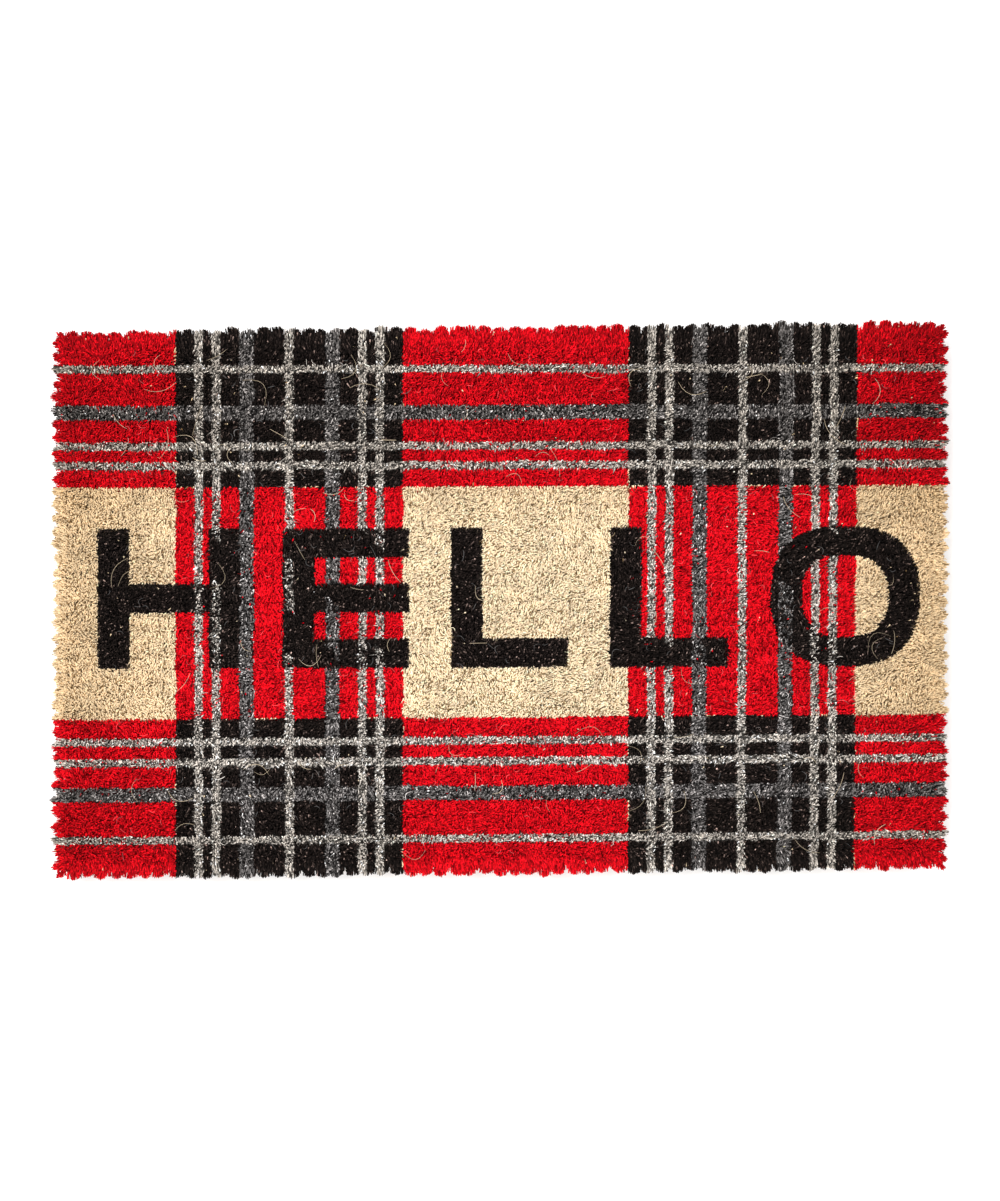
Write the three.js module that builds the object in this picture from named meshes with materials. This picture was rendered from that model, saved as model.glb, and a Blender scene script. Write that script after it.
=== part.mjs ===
// A hand-woven coir door mat, in millimetres, +Z up, with its origin on the floor under its middle.
//
// The mat is woven from coir yarn. Warp cords run across it, from the front edge to the back edge, and
// pass over and under the weft cords. Each weft cord is laid double: out along the mat, round a turn and
// back. A pile row, two rows of bristle tufts deep, stands on each weft cord and is held down by it. A
// braid lies all round the weave, and a sewing twine whips round the braid to fasten it. The bristles at
// the rim lean out, so the pile hides the braid from above.
import * as THREE from "three";

// The whole mat, over the tops of the bristles.
const length = 762;
const width = 468;
const height = 38;

// Cords.
const weftDiameter = 5;
const weftGap = 1; // between the two runs of one weft cord
const rowPitch = 23; // from one weft cord to the next, before it is fitted to the width
const warpDiameter = 3.4;
const warpPitch = 61; // from one warp cord to the next, before it is fitted to the length
const warpInset = 18; // from the weave's edge to its outermost warp cords
const warpShoulder = 0.5; // how far a warp cord runs level past the weft cord that it crosses

// Edge braid and its sewing twine.
const braidWidth = 11;
const braidChamfer = 2;
const braidCornerRadius = 5; // inside
const twineDiameter = 1.4;
const stitchPitch = 52; // before it is fitted to a side
const stitchCornerGap = 22; // from the end of the weave to the nearest stitch

// Pile.
const flare = 16; // how far the rim's bristles lean out
const rootOverhang = 6; // from the weave's edge to the foot of the rim's bristles
const rimHeight = 5; // how far below the top the rim is widest
const rimRound = 4; // how far the shorn rim is rounded in at the top
const rimLift = 7; // how far the rim's lowest bristles rise on their way out
const rimSlope = 3; // how far short of the widest they end

const clearance = 0.3; // between pieces that touch on the real mat
const pileClearance = 0.4; // between neighbouring pile rows

// What follows from them.
const weaveLength = length - 2 * (flare + rootOverhang);
const weaveWidth = width - 2 * (flare + rootOverhang);
const pairWidth = 2 * weftDiameter + weftGap;
const rowCount = Math.round((weaveWidth - pairWidth) / rowPitch) + 1;
const rowStep = (weaveWidth - pairWidth) / (rowCount - 1);
const warpSpan = weaveLength - 2 * warpInset;
const warpCount = Math.round(warpSpan / warpPitch) + 1;
const warpStep = warpSpan / (warpCount - 1);

const warpLow = warpDiameter / 2;
const weftLevel = warpDiameter + clearance + weftDiameter / 2;
const warpHigh = weftLevel + weftDiameter / 2 + clearance + warpDiameter / 2;
const pileFoot = warpHigh + warpDiameter / 2 + clearance;

const channel = twineDiameter + 2 * clearance; // between the weave and the braid, for the twine
const braidBottom = channel; // the twine passes under the braid, just clear of the floor
const braidTop = pileFoot - channel; // and over it, just clear of the pile
const braidHeight = braidTop - braidBottom;

const rowCentre = (row) => (row - (rowCount - 1) / 2) * rowStep;
const numbered = (name, index) => `${name}_${String(index + 1).padStart(2, "0")}`;

const coirYarn = new THREE.MeshStandardMaterial({ color: 0xa9824f, roughness: 0.9 });
const braidYarn = new THREE.MeshStandardMaterial({ color: 0x9c7443, roughness: 0.9 });
const twine = new THREE.MeshStandardMaterial({ color: 0xc9b186, roughness: 0.85 });
const redPile = new THREE.MeshStandardMaterial({ color: 0xb80d18, roughness: 0.95 });
const naturalPile = new THREE.MeshStandardMaterial({ color: 0xe0c394, roughness: 0.95 });

const mat = new THREE.Group();

function place(name, geometry, material) {
  const mesh = new THREE.Mesh(geometry, material);
  mesh.name = name;
  mat.add(mesh);
}

// A path of straight legs, sampled at its corners. A cord that goes up and down keeps its sections
// upright if it is given the one direction that they face; otherwise each corner is mitred.
class Route extends THREE.Curve {
  constructor(corners, facing = null) {
    super();
    this.corners = corners;
    this.facing = facing;
  }

  get legs() {
    return this.corners.length - 1;
  }

  getUtoTmapping(u) {
    return u;
  }

  getPoint(t, target = new THREE.Vector3()) {
    const at = Math.min(t * this.legs, this.legs - 1e-9);
    const leg = Math.floor(at);
    return target.lerpVectors(this.corners[leg], this.corners[leg + 1], at - leg);
  }

  getTangent(t, target = new THREE.Vector3()) {
    if (this.facing) return target.copy(this.facing);
    const corner = Math.round(t * this.legs);
    const direction = (from) =>
      new THREE.Vector3().subVectors(this.corners[from + 1], this.corners[from]).normalize();
    const before = direction(Math.max(corner - 1, 0));
    const after = direction(Math.min(corner, this.legs - 1));
    return target.addVectors(before, after).normalize();
  }
}

// A regular section that measures `across` from flat to flat, or from corner to corner.
function section(sides, across, turn, fromCorners = false) {
  const radius = across / 2 / (fromCorners ? 1 : Math.cos(Math.PI / sides));
  const corners = [];
  for (let i = 0; i < sides; i++) {
    const angle = (2 * Math.PI * (i + turn)) / sides;
    corners.push(new THREE.Vector2(radius * Math.cos(angle), radius * Math.sin(angle)));
  }
  return new THREE.Shape(corners);
}

function cord(shape, route) {
  const options = { steps: route.legs, bevelEnabled: false, extrudePath: route };
  return new THREE.ExtrudeGeometry(shape, options);
}

// One length of weft, out and back with a turn between, so that it is two picks of the weave.
function weftCord(row) {
  const turnSteps = 4;
  const apart = (weftDiameter + weftGap) / 2;
  const end = weaveLength / 2;
  const turnAt = end - apart - weftDiameter / 2;
  const corners = [new THREE.Vector3(-end, -apart, 0)];
  for (let i = 0; i <= turnSteps; i++) {
    const angle = -Math.PI / 2 + (Math.PI * i) / turnSteps;
    const x = turnAt + apart * Math.cos(angle);
    corners.push(new THREE.Vector3(x, apart * Math.sin(angle), 0));
  }
  corners.push(new THREE.Vector3(-end, apart, 0));
  const geometry = cord(section(8, weftDiameter, 0.5), new Route(corners));
  // Neighbouring cords turn at opposite ends.
  if (row % 2) geometry.rotateZ(Math.PI);
  return geometry.translate(0, rowCentre(row), weftLevel);
}

// One warp cord, over the first weft cord, under the next and so on, or the other way about.
function warpCord(index) {
  const x = (index - (warpCount - 1) / 2) * warpStep;
  const level = pairWidth / 2 + warpShoulder;
  const corners = [];
  for (let row = 0; row < rowCount; row++) {
    const z = (row + index) % 2 ? warpHigh : warpLow;
    const first = row === 0 ? pairWidth / 2 : level;
    const last = row === rowCount - 1 ? pairWidth / 2 : level;
    corners.push(new THREE.Vector3(x, rowCentre(row) - first, z));
    corners.push(new THREE.Vector3(x, rowCentre(row) + last, z));
  }
  return cord(section(6, warpDiameter, 0.5), new Route(corners, new THREE.Vector3(0, 1, 0)));
}

// A rectangle with round corners, as a closed outline.
function roundedRectangle(Outline, halfLength, halfWidth, radius) {
  const outline = new Outline();
  outline.absarc(halfLength - radius, halfWidth - radius, radius, 0, Math.PI / 2);
  outline.absarc(radius - halfLength, halfWidth - radius, radius, Math.PI / 2, Math.PI);
  outline.absarc(radius - halfLength, radius - halfWidth, radius, Math.PI, 1.5 * Math.PI);
  outline.absarc(halfLength - radius, radius - halfWidth, radius, 1.5 * Math.PI, 2 * Math.PI);
  outline.closePath();
  return outline;
}

// The braid is one ring round the weave, chamfered along its four long edges.
function edgeBraid() {
  const inside = channel + braidChamfer;
  const outside = channel + braidWidth - braidChamfer;
  const outline = (Outline, grow, radius) =>
    roundedRectangle(Outline, weaveLength / 2 + grow, weaveWidth / 2 + grow, radius);
  const shape = outline(THREE.Shape, outside, braidCornerRadius + braidWidth - braidChamfer);
  shape.holes.push(outline(THREE.Path, inside, braidCornerRadius + braidChamfer));
  const geometry = new THREE.ExtrudeGeometry(shape, {
    depth: braidHeight - 2 * braidChamfer,
    bevelThickness: braidChamfer,
    bevelSize: braidChamfer,
    bevelSegments: 1,
    curveSegments: 6,
  });
  return geometry.translate(0, 0, braidBottom + braidChamfer);
}

// The corners of one stitch round the braid's section: up inside it, over it and down outside it. Each is
// the distance out from the middle of the braid, and the height.
function stitchCorners() {
  const reach = clearance + twineDiameter / 2;
  const out = braidWidth / 2 + reach;
  const up = braidHeight / 2 + reach;
  const middle = (braidTop + braidBottom) / 2;
  return [
    [braidChamfer - out, -up],
    [-out, braidChamfer - up],
    [-out, up - braidChamfer],
    [braidChamfer - out, up],
    [out - braidChamfer, up],
    [out, up - braidChamfer],
    [out, braidChamfer - up],
    [out - braidChamfer, -up],
  ].map(([across, rise]) => [across, middle + rise]);
}

// The twine goes round the mat once, with evenly spaced stitches on each side, and passes from stitch to
// stitch underneath.
function sewingTwine() {
  const middle = channel + braidWidth / 2;
  const sides = [
    { along: [1, 0], out: [0, -1], half: weaveLength / 2, away: weaveWidth / 2 + middle },
    { along: [0, 1], out: [1, 0], half: weaveWidth / 2, away: weaveLength / 2 + middle },
    { along: [-1, 0], out: [0, 1], half: weaveLength / 2, away: weaveWidth / 2 + middle },
    { along: [0, -1], out: [-1, 0], half: weaveWidth / 2, away: weaveLength / 2 + middle },
  ];
  const corners = [];
  for (const { along, out, half, away } of sides) {
    const end = half - stitchCornerGap;
    const gaps = Math.round((2 * end) / stitchPitch);
    for (let stitch = 0; stitch <= gaps; stitch++) {
      const s = -end + (2 * end * stitch) / gaps;
      for (const [across, z] of stitchCorners()) {
        const r = away + across;
        corners.push(new THREE.Vector3(along[0] * s + out[0] * r, along[1] * s + out[1] * r, z));
      }
    }
  }
  return cord(section(4, twineDiameter, 0.5, true), new Route(corners));
}

// A pile row is a block. Where its faces are on the mat's rim they lean out, widest near the top, because
// the bristles fan out there from their foot.
function pileRow(row) {
  const footEnd = weaveLength / 2 + rootOverhang;
  const between = (rowStep - pileClearance) / 2;
  const rim = pairWidth / 2 + rootOverhang;
  const onFrontRim = row === 0;
  const onBackRim = row === rowCount - 1;
  const levels = [
    { z: pileFoot, lean: 0 },
    { z: pileFoot + rimLift, lean: flare - rimSlope },
    { z: height - rimHeight, lean: flare },
    { z: height, lean: flare - rimRound },
  ];
  const geometry = new THREE.BoxGeometry(2, 2, 2, 1, 1, levels.length - 1);
  const position = geometry.getAttribute("position");
  for (let i = 0; i < position.count; i++) {
    const level = levels[Math.round(((position.getZ(i) + 1) / 2) * (levels.length - 1))];
    const sideX = position.getX(i);
    const sideY = position.getY(i);
    const onRim = sideY < 0 ? onFrontRim : onBackRim;
    const reach = onRim ? rim + level.lean : between;
    const x = sideX * (footEnd + level.lean);
    position.setXYZ(i, x, rowCentre(row) + sideY * reach, level.z);
  }
  return geometry;
}

for (let row = 0; row < rowCount; row++) {
  const y = Math.abs(rowCentre(row));
  const printed = y > width / 4 ? redPile : naturalPile;
  place(numbered("pile_row", row), pileRow(row), printed);
}
for (let row = 0; row < rowCount; row++) {
  place(numbered("weft_cord", row), weftCord(row), coirYarn);
}
for (let index = 0; index < warpCount; index++) {
  place(numbered("warp_cord", index), warpCord(index), coirYarn);
}
place("edge_braid", edgeBraid(), braidYarn);
place("sewing_twine", sewingTwine(), twine);

export default mat;
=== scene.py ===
import math

import bpy
import numpy as np
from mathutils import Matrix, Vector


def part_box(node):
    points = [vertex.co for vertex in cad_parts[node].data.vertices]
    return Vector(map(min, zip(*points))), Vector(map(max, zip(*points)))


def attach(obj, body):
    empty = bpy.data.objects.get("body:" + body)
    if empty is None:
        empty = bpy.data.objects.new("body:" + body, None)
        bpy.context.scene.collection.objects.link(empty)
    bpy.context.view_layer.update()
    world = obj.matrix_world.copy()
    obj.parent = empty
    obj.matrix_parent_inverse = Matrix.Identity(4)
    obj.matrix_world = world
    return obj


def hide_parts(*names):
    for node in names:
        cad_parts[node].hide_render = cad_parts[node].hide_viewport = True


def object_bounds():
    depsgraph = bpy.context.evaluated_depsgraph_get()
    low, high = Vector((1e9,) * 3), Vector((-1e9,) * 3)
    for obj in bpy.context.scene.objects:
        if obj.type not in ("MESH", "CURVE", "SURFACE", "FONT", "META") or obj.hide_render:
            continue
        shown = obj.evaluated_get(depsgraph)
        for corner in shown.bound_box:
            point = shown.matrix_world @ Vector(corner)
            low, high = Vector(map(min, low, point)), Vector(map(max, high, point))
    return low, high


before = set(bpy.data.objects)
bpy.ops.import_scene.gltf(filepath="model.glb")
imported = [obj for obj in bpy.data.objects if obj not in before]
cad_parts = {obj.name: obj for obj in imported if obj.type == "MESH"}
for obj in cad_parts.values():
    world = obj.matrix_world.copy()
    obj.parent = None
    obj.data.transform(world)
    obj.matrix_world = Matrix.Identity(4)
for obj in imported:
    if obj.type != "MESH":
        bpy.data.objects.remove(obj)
CAD_LOW, CAD_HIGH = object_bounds()

bl_info = {
    "name": "Coir Door Mat",
    "version": (1, 0, 0),
    "blender": (4, 5, 0),
    "location": "View3D > Sidebar > Door Mat",
    "description": "Builds a woven coir door mat with a stencilled plaid on its bristle pile",
    "category": "Add Mesh",
}

MM = 0.001


def nodes_named(start):
    """The frame's nodes whose names start like this, in order."""
    return sorted(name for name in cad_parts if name.startswith(start))


PILE_ROWS = nodes_named("pile_row_")
WEFT_CORDS = nodes_named("weft_cord_")
WARP_CORDS = nodes_named("warp_cord_")

# The mat's own measures, all from the frame.
HALF_LENGTH = CAD_HIGH.x
HALF_WIDTH = CAD_HIGH.y
TOP = CAD_HIGH.z
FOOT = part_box(PILE_ROWS[0])[0].z
WEAVE_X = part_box(WEFT_CORDS[0])[1].x
WEAVE_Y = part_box(WARP_CORDS[0])[1].y
ROW_MIDDLES = [(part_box(name)[0].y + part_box(name)[1].y) / 2 for name in WEFT_CORDS]
ROW_STEP = ROW_MIDDLES[1] - ROW_MIDDLES[0]
TUFT_ROW_STEP = ROW_STEP / 2
BRAID_LOW, BRAID_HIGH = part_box("edge_braid")
# The braid lies as far from the weave as it does from the floor.
BRAID_WIDTH = BRAID_HIGH.x - WEAVE_X - BRAID_LOW.z
BRAID_HEIGHT = BRAID_HIGH.z - BRAID_LOW.z
BRAID_LEVEL = (BRAID_HIGH.z + BRAID_LOW.z) / 2
BRAID_X = BRAID_HIGH.x - BRAID_WIDTH / 2
BRAID_Y = BRAID_HIGH.y - BRAID_WIDTH / 2

# The shorn side of the pile: heights, and how far out of the mat's outline the tips end there.
WALL_HEIGHTS = (FOOT + 1 * MM, FOOT + 9 * MM, TOP - 8 * MM, TOP - 3 * MM, TOP - 1 * MM)
WALL_REACHES = (-8 * MM, -2.5 * MM, 0, 0, -1.5 * MM)


# ---------------------------------------------------------------------------------------------------
# What a user can change
# ---------------------------------------------------------------------------------------------------


def size(name, description, default):
    """A length, which the panel shows in the scene's units."""
    return bpy.props.FloatProperty(
        name=name, description=description, default=default, unit="LENGTH", precision=4
    )


def share(name, description, default):
    return bpy.props.FloatProperty(name=name, description=description, default=default, min=0, max=1)


def colour(name, description, default):
    return bpy.props.FloatVectorProperty(
        name=name, description=description, default=default, subtype="COLOR", size=3, min=0, max=1
    )


class PileSettings(bpy.types.PropertyGroup):
    spacing: size("Spacing", "From one bristle tip to the next", 1.25 * MM)
    bristle_width: size("Bristle Width", "Across one bunch of fibres", 1.15 * MM)
    shown_depth: size("Shown Depth", "How far down into the pile a bristle can be seen", 9 * MM)
    lean: size("Lean", "How far a bristle leans over its shown depth, typically", 2.1 * MM)
    brushed: size("Brushed", "How far patches of the pile lie over one way", 4.1 * MM)
    laid_over: share("Laid Over", "Share of the bristles that lie over their neighbours", 0.22)
    tuft_pitch: size("Tuft Pitch", "From one tuft to the next along a row", 6.3 * MM)
    back_spacing: size("Back Spacing", "From one fibre to the next along the underside of a row", 1.3 * MM)
    corner_radius: size("Corner Radius", "Radius of the mat's outline at its corners", 8 * MM)
    rim_depth: size("Rim Depth", "How far in from the outline the bristles lean out", 22 * MM)
    rim_spacing: size("Rim Spacing", "From one long bristle to the next round the rim", 0.113 * MM)
    notch: size("Notch", "How far the outline goes in between two tufts at the mat's ends", 1.9 * MM)
    skew: bpy.props.FloatProperty(
        name="Skew", description="Rise of the mat's long edges from left to right", default=0.0112
    )
    waviness: size("Waviness", "How far the outline strays from straight", 1.0 * MM)
    spread: size("Spread", "How far the pile has crept out at each end", 1.7 * MM)
    loose_fibres: bpy.props.IntProperty(
        name="Loose Fibres", description="Pulled fibres that lie on the pile", default=650, min=0
    )


class StencilSettings(bpy.types.PropertyGroup):
    band_half_width: size("Band Half Width", "Half the width of a plaid band", 97.2 * MM)
    left_band: size("Left Band", "Middle of the left band", -180 * MM)
    right_band: size("Right Band", "Middle of the right band", 207.2 * MM)
    light_width: size("Light Stripe", "Width of a light stripe", 7.4 * MM)
    dark_width: size("Dark Stripe", "Width of a dark stripe", 12.4 * MM)
    ragged: size("Ragged Edge", "How far a stencil's edge strays", 0.3 * MM)
    letter_height: size("Letter Height", "Height of the capitals", 119.6 * MM)
    letter_stroke: size("Letter Stroke", "Width of the letters' strokes", 27 * MM)
    word_length: size("Word Length", "From the first letter to the last", 703 * MM)
    word_middle: bpy.props.FloatVectorProperty(
        name="Word Middle",
        description="Middle of the word",
        default=(7.7 * MM, 3 * MM),
        size=2,
        unit="LENGTH",
    )
    natural: colour("Natural Coir", "Fibre that no ink reached", (0.89, 0.715, 0.49))
    red: colour("Red Ink", "Ink of the outer fields", (0.71, 0.0045, 0.012))
    black: colour("Black Ink", "Ink of the bands and the letters", (0.010, 0.007, 0.006))
    light_grey: colour("Light Grey Ink", "Ink of the light stripes", (0.54, 0.49, 0.44))
    dark_grey: colour("Dark Grey Ink", "Ink of the dark stripes", (0.145, 0.134, 0.130))


class CordSettings(bpy.types.PropertyGroup):
    weft_twist: size("Weft Twist", "Length of one turn of the weft's plies", 24 * MM)
    warp_twist: size("Warp Twist", "Length of one turn of the warp's plies", 16 * MM)
    braid_pitch: size("Braid Pitch", "Length in which a strand crosses the braid and back", 25 * MM)
    braid_corner: size("Braid Corner", "Radius of the braid's middle line at a corner", 10.5 * MM)
    strand_width: size("Strand Width", "Across one strand of the braid", 5 * MM)
    strand_twist: size("Strand Twist", "Length of one turn of a strand's plies", 17 * MM)
    twine_width: size("Twine Width", "Across the sewing twine", 1.5 * MM)
    twine_twist: size("Twine Twist", "Length of one turn of the twine's plies", 5 * MM)
    stitch_pitch: size("Stitch Pitch", "From one stitch of the twine to the next", 52 * MM)
    stitch_slant: size("Stitch Slant", "How far a stitch travels along the braid", 3.5 * MM)
    stitch_corner_gap: size("Corner Gap", "From the weave's corner to the first stitch", 22 * MM)
    yarn: colour("Yarn", "Brown coir yarn", (0.36, 0.205, 0.085))
    twine: colour("Twine", "Jute sewing twine", (0.56, 0.43, 0.25))


class StudioSettings(bpy.types.PropertyGroup):
    lens: bpy.props.FloatProperty(
        name="Lens", description="Focal length", default=100, subtype="DISTANCE_CAMERA"
    )
    fill: share("Fill", "Share of the view's width that the mat takes", 0.892)
    key: bpy.props.FloatProperty(
        name="Key Light", description="Power of the main softbox", default=120, unit="POWER"
    )
    sky: share("Sky", "Brightness of the white surroundings", 0.86)
    floor: colour("Floor", "Pale floor", (0.97, 0.97, 0.97))


# ---------------------------------------------------------------------------------------------------
# Materials
# ---------------------------------------------------------------------------------------------------


class Shade:
    """A value that varies over a surface. Arithmetic on it adds Math nodes to its material."""

    def __init__(self, finish, socket):
        self.finish = finish
        self.socket = socket

    def math(self, operation, a, b=0.0):
        return self.finish.node("ShaderNodeMath", {"operation": operation}, {0: a, 1: b})

    def __add__(self, other):
        return self.math("ADD", self, other)

    def __radd__(self, other):
        return self.math("ADD", other, self)

    def __sub__(self, other):
        return self.math("SUBTRACT", self, other)

    def __rsub__(self, other):
        return self.math("SUBTRACT", other, self)

    def __mul__(self, other):
        return self.math("MULTIPLY", self, other)

    def __rmul__(self, other):
        return self.math("MULTIPLY", other, self)

    def __truediv__(self, other):
        return self.math("DIVIDE", self, other)

    def __rtruediv__(self, other):
        return self.math("DIVIDE", other, self)

    def cosine(self):
        return self.math("COSINE", self)

    def sine(self):
        return self.math("SINE", self)

    def smooth(self, low, high):
        """0 below low, 1 above high, and smooth between."""
        settings = {"interpolation_type": "SMOOTHSTEP"}
        return self.finish.node("ShaderNodeMapRange", settings, {0: self, 1: low, 2: high, 3: 0.0, 4: 1.0})


class Finish:
    """A material, and the nodes that lead to its Principled shader."""

    def __init__(self, name, viewport, specular):
        self.material = bpy.data.materials.new(name)
        self.material.use_nodes = True
        self.material.diffuse_color = (*viewport, 1)
        self.tree = self.material.node_tree
        self.shader = self.tree.nodes["Principled BSDF"]
        self.shader.inputs["Specular IOR Level"].default_value = specular

    def node(self, kind, settings=None, values=None, output=0):
        """Adds a node: its settings first, then each socket's number or link. Returns one of its outputs."""
        node = self.tree.nodes.new(kind)
        for key, value in (settings or {}).items():
            setattr(node, key, value)
        for key, value in (values or {}).items():
            self.feed(node.inputs[key], value)
        return Shade(self, node.outputs[output])

    def feed(self, socket, value):
        if isinstance(value, Shade):
            self.tree.links.new(value.socket, socket)
        else:
            socket.default_value = value

    def place(self):
        return self.node("ShaderNodeTexCoord", output="Object")

    def height(self):
        return self.node("ShaderNodeSeparateXYZ", values={0: self.place()}, output="Z")

    def attribute(self, name):
        return self.node("ShaderNodeAttribute", {"attribute_name": name})

    def stretched(self, vector, scale):
        return self.node("ShaderNodeMapping", values={"Vector": vector, "Scale": scale})

    def noise(self, vector, scale, detail=2.0, roughness=0.5):
        values = {"Vector": vector, "Scale": scale, "Detail": detail, "Roughness": roughness}
        return self.node("ShaderNodeTexNoise", values=values)

    def mix(self, factor, a, b):
        """One colour turning into another."""
        return self.node("ShaderNodeMix", {"data_type": "RGBA"}, {0: factor, 6: a, 7: b}, output=2)

    def brighten(self, tint, factor):
        """The colour times a varying number."""
        grey = self.node("ShaderNodeCombineXYZ", values={0: factor, 1: factor, 2: factor})
        return self.node("ShaderNodeVectorMath", {"operation": "MULTIPLY"}, {0: tint, 1: grey})

    def bump(self, relief, distance, strength):
        values = {"Height": relief, "Distance": distance, "Strength": strength}
        return self.node("ShaderNodeBump", values=values)

    def show(self, tint, roughness, normal=None):
        self.feed(self.shader.inputs["Base Color"], tint)
        self.feed(self.shader.inputs["Roughness"], roughness)
        if normal:
            self.feed(self.shader.inputs["Normal"], normal)
        return self.material


# The ink is whole above the height where it fades, and gone below the height where it ends.
INK_FADES = TOP - 12 * MM
INK_ENDS = TOP - 21 * MM
INK_UNEVEN = 8 * MM


def dyed_coir(stencil):
    """Bristles: ink on their upper ends, which fades into raw fibre further down. Each has its own ink in
    the attribute "ink"."""
    finish = Finish("dyed_coir", stencil.red, specular=0.07)
    place = finish.place()
    height = finish.height()
    ink = finish.attribute("ink")
    # Streaks run down the bristles, mottling is as large as a tuft or two, and the ink wicked unevenly.
    streaks = finish.noise(finish.stretched(place, (1, 1, 0.25)), scale=900, detail=1.0)
    mottling = finish.noise(place, scale=38, detail=3.0, roughness=0.6)
    wicking = finish.noise(place, scale=420)
    soaked = (height + (wicking - 0.5) * INK_UNEVEN).smooth(INK_ENDS, INK_FADES)
    raw = finish.mix(streaks, (0.30, 0.17, 0.07, 1), (0.66, 0.48, 0.27, 1))
    tint = finish.mix(soaked, raw, ink)
    shade = (mottling - 0.5) * 0.55 + (streaks - 0.5) * 0.35 + 1.0
    return finish.show(finish.brighten(tint, shade), streaks * 0.2 + 0.72)


HAIR_LENGTH = 11 * MM
HAIRS_ROUND = 1.4  # radius of the noise's roll, which sets how many streaks go round


def spun_yarn(name, tint):
    """Spun coir or jute: fine streaks along the plies, painted shade where the plies meet, with paler hairs.
    """
    finish = Finish(name, tint, specular=0.2)
    lay = finish.node("ShaderNodeUVMap", {"uv_map": "lay"})
    along = finish.node("ShaderNodeSeparateXYZ", values={0: lay}, output="X")
    turn = finish.node("ShaderNodeSeparateXYZ", values={0: lay}, output="Y") * (2 * math.pi)
    # The noise is rolled round the yarn, so that its streaks have no seam.
    rolled = {0: along / HAIR_LENGTH, 1: turn.cosine() * HAIRS_ROUND, 2: turn.sine() * HAIRS_ROUND}
    fibres = finish.node("ShaderNodeCombineXYZ", values=rolled)
    hairs = finish.noise(fibres, scale=1.0, detail=3.0, roughness=0.65)
    dirt = finish.noise(finish.place(), scale=55, detail=2.0)
    # Painted shade in the crease where the two plies meet.
    ply_crease_shade = (1 - (turn * 2).cosine()) * 0.5
    dark = tuple(channel * 0.45 for channel in tint)
    pale = tuple(min(channel * 1.75, 1) for channel in tint)
    streaked = finish.mix(hairs.smooth(0.36, 0.66), (*dark, 1), (*pale, 1))
    shade = (dirt - 0.5) * 0.5 - ply_crease_shade * 0.3 + 1.1
    normal = finish.bump(hairs, 0.6 * MM, 0.8)
    return finish.show(finish.brighten(streaked, shade), hairs * 0.15 + 0.78, normal)


def plain_floor(tint):
    finish = Finish("pale_floor", tint, specular=0.0)
    return finish.show((*tint, 1), 1.0)


# ---------------------------------------------------------------------------------------------------
# How the mat lies, and its outline
# ---------------------------------------------------------------------------------------------------


def wander(t, seed, wavelengths=(0.23, 0.091, 0.037)):
    """A smooth line that strays within about -1 to 1, the same each time for a seed."""
    phases = np.random.default_rng(seed).uniform(0, 2 * math.pi, len(wavelengths))
    waves = [np.sin(2 * math.pi * t / length + phase) for length, phase in zip(wavelengths, phases)]
    return np.mean(waves, axis=0) * 1.5


SIDE_CREEP = 0.2  # how far the pile creeps out at the long edges, of how far it does at the ends


def as_laid(points, pile):
    """Moves points of the square, straight mat to where the real one's weave has pulled them."""
    x, y, z = np.asarray(points, float).T
    across = np.clip(x / HALF_LENGTH, -1, 1)
    up = np.clip(y / HALF_WIDTH, -1, 1)
    long_edges = np.where(y > 0, wander(x, 11), wander(x, 12))
    ends = np.where(x > 0, wander(y, 13), wander(y, 14))
    moved_x = x + across * (pile.spread + pile.waviness * np.abs(across) * ends * 0.5)
    moved_y = y + up * (SIDE_CREEP * pile.spread + pile.waviness * np.abs(up) * long_edges) + pile.skew * x
    return np.stack([moved_x, moved_y, z], axis=1)


def inside_outline(x, y, half_x, half_y, radius):
    """How far inside a rectangle with round corners each point lies, and the way out of it."""
    qx = np.abs(x) - (half_x - radius)
    qy = np.abs(y) - (half_y - radius)
    cornered = (qx > 0) & (qy > 0)
    reach = np.maximum(np.hypot(qx, qy), 1e-9)
    out_x = np.where(cornered, qx / reach, (qx >= qy).astype(float)) * np.sign(x)
    out_y = np.where(cornered, qy / reach, (qx < qy).astype(float)) * np.sign(y)
    depth = radius - np.where(cornered, reach, np.maximum(qx, qy))
    return depth, out_x, out_y


def round_rectangle(half_x, half_y, radius, spacing):
    """Points and outward directions at an even spacing round a rectangle with round corners."""
    straight_x = 2 * (half_x - radius)
    straight_y = 2 * (half_y - radius)
    arc = radius * math.pi / 2
    legs = [straight_x, arc, straight_y, arc, straight_x, arc, straight_y, arc]
    total = sum(legs)
    count = round(total / spacing)
    points = []
    for s in np.arange(count) * total / count:
        side = 0
        while s > legs[side]:
            s -= legs[side]
            side += 1
        turn = (side // 2) * math.pi / 2
        half_run = legs[side - side % 2] / 2
        half_rise = (half_y if side // 2 % 2 == 0 else half_x) - radius
        angle = -math.pi / 2 + (s / radius if side % 2 else 0)
        along = half_run if side % 2 else s - half_run
        local_x = along + radius * math.cos(angle)
        local_y = -half_rise + radius * math.sin(angle)
        cos, sin = math.cos(turn), math.sin(turn)
        out = (math.cos(angle + turn), math.sin(angle + turn))
        points.append((local_x * cos - local_y * sin, local_x * sin + local_y * cos, *out))
    return np.array(points)


# ---------------------------------------------------------------------------------------------------
# The stencilled print
# ---------------------------------------------------------------------------------------------------

# Middles of a band's stripes, from the band's own middle.
LIGHT_ACROSS_BAND = (-77.5 * MM, -62.5 * MM, 0, 62.5 * MM, 77.5 * MM)
DARK_ACROSS_BAND = (-36.5 * MM, 37 * MM)
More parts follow.
